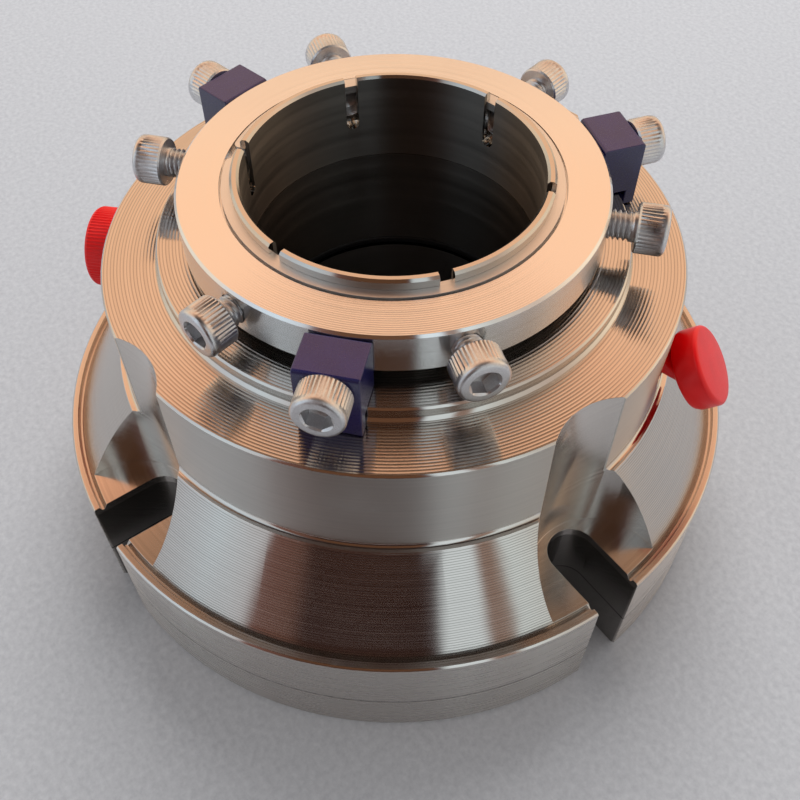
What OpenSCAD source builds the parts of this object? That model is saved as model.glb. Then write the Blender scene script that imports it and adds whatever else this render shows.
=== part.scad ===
// Cartridge mechanical seal for a 60 mm shaft
// The shaft axis is Z. The gland bolts down on its face at z = 0 and the drive collar is at the top.
// Bolt slots lie on +X, +Y, -X and -Y.

/* [Shaft and sleeve] */
// Diameter of the shaft that the sleeve slides over
shaft_d = 60; // [54:0.5:66]
// Wall of the slotted sleeve end inside the collar
neck_wall = 2; // [1.6:0.1:2.4]
// Wall of the sleeve inside the gland
sleeve_wall = 4; // [3.5:0.1:4.6]
// Height of the sleeve's lower end above the bolting face
sleeve_foot = 3; // [1:0.5:4.5]
// How far the slotted fingers stand above the collar
finger_rise = 2.4; // [1.8:0.1:3.5]
// Width of each slot in the sleeve end
finger_slot_w = 2.8; // [2:0.1:4]
// How far each slot reaches down from the collar's top face
finger_slot_depth = 10; // [8:0.5:13]
// Extra bore radius in the slotted end
neck_relief = 0.15; // [0.05:0.05:0.3]
// How far the wider bore reaches below the collar
relief_depth = 8.6; // [6:0.2:11]

/* [Drive collar] */
// Outside diameter of the collar
collar_d = 86; // [80:0.5:95]
// Height of the collar
collar_h = 9.2; // [8.2:0.1:11]
// Height of the collar's top face above the bolting face
collar_top = 88; // [80:0.5:97]
// Gap between the boss of the gland and the collar
collar_gap = 3; // [2:0.2:4]
// Edge break on the collar
collar_chamfer = 0.5; // [0.2:0.1:0.8]
// Depth of the seat for the retaining ring in the collar's top
ring_seat_depth = 1.5; // [1:0.1:2]

/* [Retaining ring] */
// Radial width of the retaining ring
ring_w = 2.8; // [2.2:0.1:3.4]
// Thickness of the retaining ring
ring_t = 1.7; // [1.3:0.1:2]
// Depth of its groove in the sleeve
ring_groove_depth = 1; // [0.7:0.1:1.2]
// Opening between the ring's round ends
ring_gap = 3; // [2:0.2:6]

/* [Drive screws] */
// Number of drive screws
drive_screws = 6; // [6]
// Thread diameter of the collar's screws
screw_d = 6; // [5:0.5:6.5]
// Head diameter of the collar's screws
screw_head_d = 10; // [8.5:0.5:11]
// Head height of the collar's screws
screw_head_h = 6; // [4.5:0.5:7]
// Width across flats of the hexagon socket
screw_hex = 5; // [4:0.5:6]
// Depth of the hexagon socket
screw_hex_depth = 3; // [2:0.5:4]
// How much longer a drive screw is than the collar's wall
drive_screw_spare = 2.5; // [1.5:0.5:4]
// Angle of the first drive screw and the first finger slot
drive_angle = -18.5; // [-25:0.5:-15]

/* [Setting clips] */
// Number of setting clips
clips = 3; // [3]
// Width of a clip across the collar
clip_w = 12; // [10:0.5:14]
// Thickness of the clip's leg outside the boss
clip_leg_t = 2.4; // [2:0.1:3]
// How far the clip's top lies under the collar's top face
clip_drop = 0.4; // [0:0.2:1]
// Distance of a clip screw's tip from the sleeve
clip_tip_gap = 2.35; // [0.35:0.5:4.35]

/* [Gland] */
// Diameter of the flange
flange_d = 156; // [142:1:172]
// Height of the flange rim above the bolting face
flange_h = 29.6; // [27:0.2:34]
// Width of the ledge between the cone's foot and the flange's edge
rim_w = 2.3; // [1.8:0.1:3]
// Diameter of the hub
hub_d = 121.6; // [116:0.2:130]
// Height of the hub's wall over the cone
hub_h = 23.8; // [21:0.2:26]
// Fillet between hub and cone
hub_fillet = 1; // [0.5:0.1:1.6]
// Diameter of the boss round the sleeve
boss_d = 98; // [92:0.5:104]
// Height of the boss over the hub's wide face
boss_h = 3.6; // [3:0.2:5]
// Step at the foot of the boss
boss_step = 0.6; // [0.4:0.1:1]
// Depth of the groove at the cone's foot
foot_groove = 1.2; // [0.6:0.1:1.6]

/* [Bolt slots] */
// Number of bolt slots
slots = 4; // [4]
// Width of a bolt slot
slot_w = 11; // [9:0.5:14]
// Radius of the milled recess over each slot
scallop_r = 14.3; // [12.5:0.1:16]
// How far the recess cuts into the hub
recess_cut = 3.5; // [2:0.1:4.5]
// Ledge between the recess's wall and the slot's closed end
slot_land = 1.3; // [0.5:0.1:2.5]

/* [Base plate] */
// Thickness of the base plate under the gland
base_h = 13.2; // [12:0.2:15]
// Gap between the rotary head and the base plate's bore
base_bore_gap = 2; // [1:0.2:2.4]
// Wall of the spigot that centres the plate in the gland
spigot_wall = 5; // [4:0.2:6]
// Height of the spigot
spigot_h = 6.8; // [6:0.2:8]
// Number of base plate screws
base_screws = 4; // [4]
// Distance of the base plate screws from the flange's edge
base_screw_inset = 10; // [7:0.5:12]
// Thread diameter of the base plate screws
base_screw_d = 5; // [4:0.5:6]
// Head diameter of the base plate screws
base_screw_head_d = 8.5; // [7.5:0.5:9.5]
// Length of a base plate screw under its head
base_screw_len = 18; // [14:1:20]

/* [Ports] */
// Depth of the port axes under the hub's wide face
port_drop = 12.2; // [11:0.2:14]
// Diameter of the threaded mouth of a port
port_d = 14.4; // [12:0.2:16]
// Depth of the threaded mouth
port_depth = 11; // [9.5:0.5:13]
// Diameter of the passage from the mouth to the chamber
passage_d = 7; // [5:0.2:8]
// Angle of the port on the right in the picture
port_angle_right = 32; // [30:0.5:34]
// Angle of the port on the left in the picture
port_angle_left = 225; // [223:0.5:227]
// Diameter of a plug's head
plug_head_d = 17; // [16.4:0.2:20]
// Height of a plug's head
plug_head_h = 8; // [6:0.5:10]
// Length of a plug's shank
plug_shank = 9; // [6:0.5:9.5]
// Wall of a hollow plug
plug_wall = 1.6; // [1.2:0.1:2.4]

/* [Stationary seat] */
// Height of the sealing plane
seal_z = 34; // [32:0.2:37]
// Height of the stationary seat
seat_h = 12; // [10.6:0.2:13.4]
// Gap between sleeve and seat
seat_gap = 3; // [2.4:0.1:3.6]
// Radial width of the seat
seat_w = 12.6; // [11.6:0.1:14]
// Height of the seat's O-ring groove above the sealing plane
seat_groove_rise = 3.6; // [2.6:0.2:4.6]
// Diameter of the anti-rotation pin
lock_pin_d = 3.5; // [2.5:0.1:4]
// Length of the anti-rotation pin
lock_pin_len = 11; // [8:0.5:13]
// How far the anti-rotation pin reaches into the seat
lock_pin_sink = 3.6; // [2.6:0.1:4.2]

/* [Rotary face] */
// Radial width of the rotary head
head_w = 13; // [12.4:0.1:14]
// Height of the rotary face
face_h = 10; // [9:0.2:11]
// Height of the sealing nose
nose_h = 3; // [2:0.1:3.6]
// Radial width of the sealing nose
nose_w = 4.6; // [4:0.1:6]
// Gap between the sleeve and the inner edge of the nose
nose_gap = 4.8; // [4.2:0.1:5.4]
// Height of the O-ring groove above the back of the rotary face
face_groove_rise = 2.6; // [2:0.1:3.4]

/* [Springs and carrier] */
// Height of the spring carrier
carrier_h = 12; // [10.5:0.5:13]
// Height of the carrier's lower face
carrier_foot = 6; // [5.2:0.2:7]
// Depth of a spring pocket
pocket_depth = 8; // [6:0.2:9]
// Outside diameter of a spring
spring_d = 4.8; // [4:0.1:5.6]
// Wire diameter of a spring
wire_d = 0.9; // [0.6:0.05:1.1]
// Turns of a spring
spring_turns = 5; // [4:0.5:7]
// Places for springs and drive pins on the pitch circle
stations = 10; // [10]
// Distance of the pitch circle outside the sleeve
pitch_gap = 7; // [6.4:0.1:7.6]
// Diameter of a drive pin
drive_pin_d = 4; // [3:0.1:4.8]
// How far a drive pin reaches into the rotary face
drive_pin_reach = 5.5; // [4:0.5:6]
// Depth of a drive pin's hole in the carrier
drive_pin_seat = 6; // [5:0.5:8]
// Number of grub screws in the carrier
grub_screws = 3; // [3]
// Thread diameter of the grub screws
grub_d = 5; // [4:0.5:6]
// Length of a grub screw
grub_len = 12; // [8:0.5:12.5]

/* [O-rings and bush] */
// Section of the O-ring in the sleeve bore
sleeve_oring_d = 2.4; // [1.8:0.1:2.8]
// Height of the O-ring in the sleeve bore
sleeve_oring_z = 43.5; // [20:0.5:60]
// Section of the O-ring on the seat
seat_oring_d = 2.9; // [2.4:0.1:3.4]
// Section of the O-ring in the rotary face
face_oring_d = 2.6; // [2.2:0.1:3]
// Section of the O-ring on the spigot
spigot_oring_d = 2; // [1.6:0.1:2.6]
// Depth of the spigot's O-ring groove under the spigot's top
spigot_groove_drop = 1.8; // [1.2:0.1:2.2]
// Section of the O-ring in the bolting face
face_seal_d = 2.1; // [1.6:0.1:2.6]
// Distance of the O-ring in the bolting face from the plate's bore
face_seal_inset = 4; // [3:0.2:4.8]
// Height of the throttle bush
bush_h = 9; // [7:0.2:10]
// Wall of the throttle bush
bush_wall = 4.7; // [3.7:0.1:5.5]
// Height of the lip over the throttle bush
bush_lip = 1.8; // [1.2:0.1:2.6]
// Gap between the sleeve and the lip over the bush
lip_gap = 1.2; // [0.8:0.1:2]
// Radial width of the chamber behind the seat
chamber_w = 8; // [7:0.2:9]

/* [Hidden] */
$fn = 96;

// Colours
steel = "#c9c3bb";
bright_steel = "#d9d5cf";
clip_blue = "#2b2760";
plug_red = "#c80f12";
carbon = "#2c2c2e";
ceramic_grey = "#4a4c50";
rubber_black = "#17181a";
bush_white = "#d8d2c4";
spring_steel = "#9a9da2";

// Clearances and edges: a close fit, a running gap, play for a screw and its head,
// play of an O-ring along its groove, and how far a cut reaches past what it cuts
fit = 0.05;
run = 0.3;
bolt_play = 0.2;
head_play = 0.3;
groove_play = 0.5;
over = 1;
edge = 0.4;

// Sleeve and collar
shaft_r = shaft_d / 2;
neck_r = shaft_r + neck_wall;
barrel_r = shaft_r + sleeve_wall;
collar_r = collar_d / 2;
collar_foot = collar_top - collar_h;
screw_z = collar_top - collar_h / 2;
sleeve_top = collar_top + finger_rise;
finger_chamfer = 0.5;
sleeve_chamfer = 1;

// Retaining ring
ring_seat_z = collar_top - ring_seat_depth;
ring_in = neck_r - ring_groove_depth + fit;
ring_out = ring_in + ring_w;
ring_mid = (ring_in + ring_out) / 2;
ring_end_inset = 0.2;
ring_seat_play = 0.5;
ring_slot = 4;

// Collar screws: how far the tip of each drive screw stands off the sleeve, and the edges turned on a screw
tip_gaps = [0.4, 2.7, 1.9, 2, 2.5, 0.3];
drive_screw_len = collar_r - neck_r + drive_screw_spare;
head_edge = 0.6;
tip_edge = 0.6;

// Gland
boss_r = boss_d / 2;
boss_foot_r = boss_r + boss_step;
boss_top = collar_foot - collar_gap;
hub_r = hub_d / 2;
hub_top = boss_top - boss_h;
cone_top = hub_top - hub_h;
cone_shoulder = 0.5;
cone_top_r = hub_r + hub_fillet + cone_shoulder;
flange_r = flange_d / 2;
cone_foot_r = flange_r - rim_w;
foot_groove_w = 0.8;
foot_groove_slope = 0.3;
fillet_steps = 6;

// Clips
clip_gap = 0.15;
clip_leg_gap = 0.35;
clip_in = collar_r + clip_gap;
clip_leg_in = boss_foot_r + clip_leg_gap;
clip_out = clip_leg_in + clip_leg_t;
clip_top = collar_top - clip_drop;
clip_foot = hub_top + run;
clip_arch = boss_top + run;
clip_chamfer = 0.4;
clip_angle = drive_angle - 180 / drive_screws;
clip_screw_len = clip_out - neck_r - clip_tip_gap;

// Recesses and bolt slots
recess_in = hub_r - recess_cut;
scallop_pos = recess_in + scallop_r;
slot_r = slot_w / 2;
slot_pos = recess_in + slot_land + slot_r;

// Seat and rotary face
seat_in = barrel_r + seat_gap;
seat_out = seat_in + seat_w;
shoulder_z = seal_z + seat_h;
cavity_r = seat_out + fit;
seat_groove_foot = seal_z + seat_groove_rise;
head_r = barrel_r + head_w;
face_foot = seal_z - face_h;
nose_foot = seal_z - nose_h;
nose_in = barrel_r + nose_gap;
nose_out = nose_in + nose_w;
face_in = barrel_r + run;
face_groove_foot = face_foot + face_groove_rise;

// Anti-rotation pin and its notch in the seat
lock_pin_inset = 3.6;
lock_pin_r = seat_out - lock_pin_inset;
lock_pin_z = shoulder_z - lock_pin_sink;
notch_room = 0.6;

// Base plate
base_in = head_r + base_bore_gap;
spigot_r = base_in + spigot_wall;
spigot_top = base_h + spigot_h;
spigot_groove_top = spigot_top - spigot_groove_drop;
face_seal_r = base_in + face_seal_inset;
base_screw_r = flange_r - base_screw_inset;
base_screw_head_h = base_screw_d;
base_screw_sink = 0.4;
base_head_z = base_screw_sink + base_screw_head_h;

// Bush and chamber
lip_z = boss_top - bush_lip;
lip_r = barrel_r + lip_gap;
bush_foot = lip_z - bush_h;
bush_in = barrel_r + run;
bush_out = bush_in + bush_wall;
chamber_r = barrel_r + chamber_w;
chamber_top = bush_foot - edge;

// Springs and pins
pitch_r = barrel_r + pitch_gap;
carrier_top = carrier_foot + carrier_h;
pocket_foot = carrier_top - pocket_depth;
pocket_r = spring_d / 2 + run;
spring_len = face_foot - pocket_foot;
pin_foot = carrier_top - drive_pin_seat;
pin_top = face_foot + drive_pin_reach;
pin_hole_top = pin_top + 2;
pin_hole_r = drive_pin_d / 2 + run + fit;
grub_z = carrier_foot + carrier_h / 2;
spring_stations = [1, 2, 3, 4, 6, 7, 8, 9];
pin_stations = [0, 5];
station_step = 360 / stations;

// Shape of a spring: the share of the wire in each closed end, how much flatter it lies there,
// the sides of the wire and its rings a turn
closed_share = 0.15;
closed_pitch = 0.6;
wire_sides = 6;
rings_per_turn = 12;

// Ports
port_z = hub_top - port_drop;
port_r = port_d / 2;
plug_seat_r = hub_r + 0.02;
plug_edge = 0.8;

// A solid ring of revolution from a profile in the r, z plane
module turned(profile) {
    rotate_extrude()
        polygon(profile);
}

// A plain tube between two radii and two heights
module tube(r_in, r_out, z_low, z_high) {
    turned([[r_in, z_low], [r_out, z_low], [r_out, z_high], [r_in, z_high]]);
}

// A round O-ring of a given section, centred on radius r and height z
module o_ring(r, z, section_d) {
    color(rubber_black)
        rotate_extrude()
            translate([r, z])
                circle(d = section_d, $fn = 32);
}

// Points down the concave fillet, from the shoulder at height z up to the wall at radius r
function fillet_points(r, z, size, steps) = [
    for (i = [0 : steps])
        let (a = 90 * (1 - i / steps))
        [r + size * (1 - cos(a)), z + size * (1 - sin(a))]
];

// Rotates its children about the shaft so that they point outward at an angle
module at_angle(a) {
    rotate([0, 0, a])
        children();
}

// A rod along +X from one radius to another, at a height
module radial_rod(r_from, r_to, z, rod_r) {
    translate([r_from, 0, z])
        rotate([0, 90, 0])
            cylinder(h = r_to - r_from, r = rod_r, $fn = 48);
}

// Socket-head cap screw that points along -X, its head's underside at x = 0
module cap_screw(thread_d, head_d, head_h, length, hex_w, hex_depth) {
    thread_r = thread_d / 2;
    head_r = head_d / 2;
    color(bright_steel)
        rotate([0, 90, 0])
            difference() {
                rotate_extrude($fn = 64)
                    polygon([
                        [0, -length], [thread_r - tip_edge, -length], [thread_r, -length + tip_edge],
                        [thread_r, 0], [head_r, 0], [head_r, head_h - head_edge],
                        [head_r - head_edge, head_h], [0, head_h]
                    ]);
                translate([0, 0, head_h - hex_depth])
                    cylinder(h = hex_depth + over, d = hex_w / cos(30), $fn = 6);
            }
}

// The recess and the through slot for one flange bolt, on +X
module bolt_slot() {
    translate([scallop_pos, 0, flange_h])
        cylinder(h = boss_top, r = scallop_r, $fn = 128);
    translate([slot_pos, 0, -over])
        cylinder(h = flange_h + 2 * over, r = slot_r, $fn = 64);
    translate([slot_pos, -slot_r, -over])
        cube([flange_r, slot_w, flange_h + 2 * over]);
}

module bolt_slots() {
    for (i = [0 : slots - 1])
        at_angle(i * 360 / slots)
            bolt_slot();
}

// A port: threaded mouth from outside, then a passage into the chamber
module port(a) {
    at_angle(a) {
        radial_rod(hub_r - port_depth, hub_r + over, port_z, port_r);
        radial_rod(chamber_r - over, hub_r, port_z, passage_d / 2);
    }
}

function base_screw_angle(i) = (i + 0.5) * 360 / base_screws;

module base_screw_places() {
    for (i = [0 : base_screws - 1])
        at_angle(base_screw_angle(i))
            translate([base_screw_r, 0, 0])
                children();
}

// Gland

module gland_body() {
    flange_outline = [
        [spigot_r, base_h], [flange_r, base_h], [flange_r, flange_h - edge], [flange_r - edge, flange_h],
        [cone_foot_r + foot_groove_w, flange_h],
        [cone_foot_r + foot_groove_w - foot_groove_slope, flange_h - foot_groove],
        [cone_foot_r, flange_h - foot_groove]
    ];
    hub_outline = concat(
        [[cone_top_r, cone_top]],
        fillet_points(hub_r, cone_top, hub_fillet, fillet_steps),
        [[hub_r, hub_top - edge], [hub_r - edge, hub_top]]
    );
    boss_outline = [
        [boss_foot_r, hub_top], [boss_foot_r, hub_top + boss_step], [boss_r, hub_top + 2 * boss_step],
        [boss_r, boss_top - edge], [boss_r - edge, boss_top]
    ];
    bore_outline = [
        [lip_r, boss_top], [lip_r, lip_z], [bush_out, lip_z], [bush_out, chamber_top],
        [chamber_r, chamber_top], [chamber_r, shoulder_z], [cavity_r, shoulder_z],
        [cavity_r, spigot_top + fit], [spigot_r, spigot_top + fit]
    ];
    thread_top = base_head_z + base_screw_len + over;
    color(steel)
        difference() {
            turned(concat(flange_outline, hub_outline, boss_outline, bore_outline));
            bolt_slots();
            port(port_angle_right);
            port(port_angle_left);
            translate([lock_pin_r, 0, shoulder_z - over])
                cylinder(h = lock_pin_z + lock_pin_len - shoulder_z + over, d = lock_pin_d, $fn = 32);
            base_screw_places()
                translate([0, 0, base_h - over])
                    cylinder(h = thread_top + over - base_h, d = base_screw_d, $fn = 32);
        }
}

module gland_base() {
    spigot_out = spigot_r - fit;
    groove_foot = spigot_groove_top - spigot_oring_d - groove_play;
    groove_r = spigot_out - spigot_oring_d;
    seal_half = (face_seal_d + groove_play) / 2;
    color(steel)
        difference() {
            turned([
                [base_in, 0], [flange_r - 2 * edge, 0], [flange_r, 2 * edge], [flange_r, base_h],
                [spigot_out, base_h], [spigot_out, groove_foot], [groove_r, groove_foot],
                [groove_r, spigot_groove_top], [spigot_out, spigot_groove_top], [spigot_out, spigot_top],
                [base_in, spigot_top]
            ]);
            bolt_slots();
            tube(face_seal_r - seal_half, face_seal_r + seal_half, -over, face_seal_d + fit);
            base_screw_places() {
                translate([0, 0, -over])
                    cylinder(h = base_h + 2 * over, r = base_screw_d / 2 + bolt_play, $fn = 32);
                translate([0, 0, -over])
                    cylinder(h = over + base_head_z, r = base_screw_head_d / 2 + head_play, $fn = 48);
            }
        }
}

module base_screw(i) {
    at_angle(base_screw_angle(i))
        translate([base_screw_r, 0, base_head_z])
            rotate([0, 90, 0])
                cap_screw(
                    base_screw_d, base_screw_head_d, base_screw_head_h,
                    base_screw_len, base_screw_d * 0.8, base_screw_d / 2
                );
}

module throttle_bush() {
    color(bush_white)
        tube(bush_in, bush_out, bush_foot, lip_z);
}

module port_plug(a) {
    plug_r = plug_head_d / 2;
    shank_r = port_r - fit;
    hollow_r = shank_r - plug_wall;
    color(plug_red)
        at_angle(a)
            translate([plug_seat_r, 0, port_z])
                rotate([0, 90, 0])
                    turned([
                        [0, plug_wall], [hollow_r, plug_wall], [hollow_r, -plug_shank],
                        [shank_r, -plug_shank], [shank_r, 0], [plug_r, 0],
                        [plug_r, plug_head_h - plug_edge], [plug_r - plug_edge, plug_head_h],
                        [0, plug_head_h]
                    ]);
}

// Stationary seal parts

module stationary_seat() {
    groove_r = seat_out - seat_oring_d;
    groove_top = seat_groove_foot + seat_oring_d + groove_play;
    notch_w = lock_pin_d + notch_room;
    color(ceramic_grey)
        difference() {
            turned([
                [seat_in, seal_z], [seat_out - edge, seal_z], [seat_out, seal_z + edge],
                [seat_out, seat_groove_foot], [groove_r, seat_groove_foot],
                [groove_r, groove_top], [seat_out, groove_top],
                [seat_out, shoulder_z], [seat_in, shoulder_z]
            ]);
            translate([lock_pin_r - notch_w / 2, -notch_w / 2, lock_pin_z - notch_room])
                cube([head_r, notch_w, lock_pin_sink + notch_room + over]);
        }
}

module anti_rotation_pin() {
    color(bright_steel)
        translate([lock_pin_r, 0, lock_pin_z])
            cylinder(h = lock_pin_len, r = lock_pin_d / 2, $fn = 32);
}

// Sleeve and what it carries

module sleeve() {
    relief_foot = collar_foot - relief_depth;
    relief_r = shaft_r + neck_relief;
    ring_groove_r = neck_r - ring_groove_depth;
    ring_groove_top = ring_seat_z + ring_t + 2 * fit;
    groove_r = shaft_r + sleeve_oring_d;
    groove_half = (sleeve_oring_d + groove_play) / 2;
    color(bright_steel)
        difference() {
            turned([
                [shaft_r, sleeve_foot], [barrel_r - sleeve_chamfer, sleeve_foot],
                [barrel_r, sleeve_foot + sleeve_chamfer], [barrel_r, collar_foot],
                [neck_r, collar_foot], [neck_r, ring_seat_z], [ring_groove_r, ring_seat_z],
                [ring_groove_r, ring_groove_top], [neck_r, ring_groove_top],
                [neck_r, sleeve_top - finger_chamfer], [neck_r - finger_chamfer, sleeve_top],
                [relief_r + finger_chamfer, sleeve_top], [relief_r, sleeve_top - finger_chamfer],
                [relief_r, relief_foot], [shaft_r, relief_foot],
                [shaft_r, sleeve_oring_z + groove_half], [groove_r, sleeve_oring_z + groove_half],
                [groove_r, sleeve_oring_z - groove_half], [shaft_r, sleeve_oring_z - groove_half]
            ]);
            for (i = [0 : drive_screws - 1])
                at_angle(drive_screw_angle(i))
                    finger_slot();
        }
}

// One slot in the sleeve end, round at its lower end
module finger_slot() {
    slot_foot = collar_top - finger_slot_depth + finger_slot_w / 2;
    translate([shaft_r - over, -finger_slot_w / 2, slot_foot])
        cube([sleeve_wall + 2 * over, finger_slot_w, sleeve_top - slot_foot + over]);
    radial_rod(shaft_r - over, barrel_r + over, slot_foot, finger_slot_w / 2);
}

function drive_screw_angle(i) = drive_angle + i * 360 / drive_screws;

function clip_screw_angle(i) = clip_angle + i * 360 / clips;

module drive_collar() {
    bore_r = neck_r + fit;
    seat_r = ring_out + ring_seat_play;
    hole_r = screw_d / 2 + fit;
    color(steel)
        difference() {
            turned([
                [bore_r, collar_foot], [collar_r - collar_chamfer, collar_foot],
                [collar_r, collar_foot + collar_chamfer], [collar_r, collar_top - collar_chamfer],
                [collar_r - collar_chamfer, collar_top], [seat_r, collar_top],
                [seat_r, ring_seat_z], [bore_r, ring_seat_z]
            ]);
            for (i = [0 : drive_screws - 1])
                at_angle(drive_screw_angle(i))
                    radial_rod(neck_r - over, collar_r + over, screw_z, hole_r);
            for (i = [0 : clips - 1])
                at_angle(clip_screw_angle(i))
                    radial_rod(neck_r - over, collar_r + over, screw_z, hole_r);
        }
}

// Snap ring whose round ends stand either side of one finger slot
module retaining_ring() {
    foot = ring_seat_z + fit;
    cut = ring_gap + ring_w;
    color(spring_steel)
        at_angle(drive_screw_angle(ring_slot)) {
            difference() {
                tube(ring_in, ring_out, foot, foot + ring_t);
                translate([ring_in - over, -cut / 2, foot - over])
                    cube([ring_w + 2 * over, cut, ring_t + 2 * over]);
            }
            for (side = [-1, 1])
                translate([ring_mid, side * cut / 2, foot])
                    cylinder(h = ring_t, r = ring_w / 2 - ring_end_inset, $fn = 32);
        }
}

module drive_screw(i) {
    at_angle(drive_screw_angle(i))
        translate([neck_r + tip_gaps[i] + drive_screw_len, 0, screw_z])
            cap_screw(screw_d, screw_head_d, screw_head_h, drive_screw_len, screw_hex, screw_hex_depth);
}

module clip_screw(i) {
    at_angle(clip_screw_angle(i))
        translate([clip_out, 0, screw_z])
            cap_screw(screw_d, screw_head_d, screw_head_h, clip_screw_len, screw_hex, screw_hex_depth);
}

// Block on the collar whose leg hooks down over the boss
module setting_clip(i) {
    profile = [
        [clip_in, clip_arch], [clip_leg_in, clip_arch], [clip_leg_in, clip_foot], [clip_out, clip_foot],
        [clip_out, clip_top - clip_chamfer], [clip_out - clip_chamfer, clip_top],
        [clip_in + clip_chamfer, clip_top], [clip_in, clip_top - clip_chamfer]
    ];
    color(clip_blue)
        at_angle(clip_screw_angle(i))
            difference() {
                translate([0, clip_w / 2, 0])
                    rotate([90, 0, 0])
                        linear_extrude(clip_w)
                            polygon(profile);
                radial_rod(clip_in - over, clip_out + over, screw_z, screw_d / 2 + bolt_play);
            }
}

module spring_carrier() {
    bore_r = barrel_r + fit;
    color(steel)
        difference() {
            turned([
                [bore_r, carrier_foot], [head_r - edge, carrier_foot], [head_r, carrier_foot + edge],
                [head_r, carrier_top - edge], [head_r - edge, carrier_top], [bore_r, carrier_top]
            ]);
            for (s = spring_stations)
                at_angle(s * station_step)
                    translate([pitch_r, 0, pocket_foot])
                        cylinder(h = pocket_depth + over, r = pocket_r, $fn = 32);
            for (s = pin_stations)
                at_angle(s * station_step)
                    translate([pitch_r, 0, pin_foot])
                        cylinder(h = drive_pin_seat + over, d = drive_pin_d, $fn = 32);
            for (i = [0 : grub_screws - 1])
                at_angle(grub_angle(i))
                    radial_rod(barrel_r - over, head_r + over, grub_z, grub_d / 2);
        }
}

function grub_angle(i) = station_step * (floor(i * stations / grub_screws) + 0.5);

module grub_screw(i) {
    hex_depth = grub_d / 2;
    color(bright_steel)
        at_angle(grub_angle(i))
            difference() {
                radial_rod(barrel_r, barrel_r + grub_len, grub_z, grub_d / 2);
                translate([barrel_r + grub_len - hex_depth, 0, grub_z])
                    rotate([0, 90, 0])
                        cylinder(h = hex_depth + over, d = grub_d / 2 / cos(30), $fn = 6);
            }
}

module drive_pin(i) {
    color(bright_steel)
        at_angle(pin_stations[i] * station_step)
            translate([pitch_r, 0, pin_foot])
                cylinder(h = pin_top - pin_foot, r = drive_pin_d / 2, $fn = 32);
}

// Share of the spring's height reached at share t of its wire, flatter in the closed ends
function coil_rise(t) =
    t < closed_share ? t * closed_pitch
    : t > 1 - closed_share ? 1 - (1 - t) * closed_pitch
    : closed_share * closed_pitch
        + (t - closed_share) * (1 - 2 * closed_share * closed_pitch) / (1 - 2 * closed_share);

// One ring of points round the wire at share t of its length
function coil_ring(t) =
    let (
        a = 360 * spring_turns * t,
        mean_r = (spring_d - wire_d) / 2,
        z = wire_d / 2 + (spring_len - wire_d) * coil_rise(t)
    )
    [
        for (k = [0 : wire_sides - 1])
            let (b = 360 * k / wire_sides, r = mean_r + wire_d / 2 * cos(b))
            [r * cos(a), r * sin(a), z + wire_d / 2 * sin(b)]
    ];

// Compression spring between the pocket's floor and the back of the rotary face
module spring(i) {
    steps = ceil(spring_turns * rings_per_turn);
    points = [for (j = [0 : steps]) each coil_ring(j / steps)];
    walls = [
        for (j = [0 : steps - 1], k = [0 : wire_sides - 1])
            let (m = (k + 1) % wire_sides)
            [j * wire_sides + k, (j + 1) * wire_sides + k, (j + 1) * wire_sides + m, j * wire_sides + m]
    ];
    low_end = [for (k = [0 : wire_sides - 1]) k];
    high_end = [for (k = [wire_sides - 1 : -1 : 0]) steps * wire_sides + k];
    color(spring_steel)
        at_angle(spring_stations[i] * station_step)
            translate([pitch_r, 0, pocket_foot])
                polyhedron(points, concat(walls, [low_end], [high_end]));
}

// Rotary face: floats on the sleeve, turned by the drive pins

module rotary_face() {
    groove_r = barrel_r + fit + face_oring_d;
    groove_top = face_groove_foot + face_oring_d + groove_play;
    color(carbon)
        difference() {
            turned([
                [face_in, face_foot], [head_r - edge, face_foot], [head_r, face_foot + edge],
                [head_r, nose_foot], [nose_out, nose_foot], [nose_out, seal_z], [nose_in, seal_z],
                [nose_in, nose_foot], [face_in, nose_foot], [face_in, groove_top],
                [groove_r, groove_top], [groove_r, face_groove_foot], [face_in, face_groove_foot]
            ]);
            for (s = pin_stations)
                at_angle(s * station_step)
                    translate([pitch_r, 0, face_foot - over])
                        cylinder(h = pin_hole_top - face_foot + over, r = pin_hole_r, $fn = 32);
        }
}

module seat_o_ring() {
    o_ring(seat_out - seat_oring_d / 2, seat_groove_foot + (seat_oring_d + groove_play) / 2, seat_oring_d);
}

module spigot_o_ring() {
    o_ring(
        spigot_r - fit - spigot_oring_d / 2,
        spigot_groove_top - (spigot_oring_d + groove_play) / 2,
        spigot_oring_d
    );
}

module face_seal_o_ring() {
    o_ring(face_seal_r, (face_seal_d + fit) / 2, face_seal_d);
}

module sleeve_o_ring() {
    o_ring(shaft_r + sleeve_oring_d / 2, sleeve_oring_z, sleeve_oring_d);
}

module rotary_o_ring() {
    o_ring(
        barrel_r + fit + face_oring_d / 2,
        face_groove_foot + (face_oring_d + groove_play) / 2,
        face_oring_d
    );
}

gland_body();
gland_base();
throttle_bush();
stationary_seat();
anti_rotation_pin();
port_plug(port_angle_right);  // port_plug_right
port_plug(port_angle_left);  // port_plug_left
seat_o_ring();
spigot_o_ring();
face_seal_o_ring();
base_screw(0);  // base_screw_1
base_screw(1);  // base_screw_2
base_screw(2);  // base_screw_3
base_screw(3);  // base_screw_4
sleeve();
sleeve_o_ring();
drive_collar();
retaining_ring();
spring_carrier();
drive_screw(0);  // drive_screw_1
drive_screw(1);  // drive_screw_2
drive_screw(2);  // drive_screw_3
drive_screw(3);  // drive_screw_4
drive_screw(4);  // drive_screw_5
drive_screw(5);  // drive_screw_6
setting_clip(0);  // setting_clip_1
setting_clip(1);  // setting_clip_2
setting_clip(2);  // setting_clip_3
clip_screw(0);  // clip_screw_1
clip_screw(1);  // clip_screw_2
clip_screw(2);  // clip_screw_3
grub_screw(0);  // grub_screw_1
grub_screw(1);  // grub_screw_2
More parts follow.
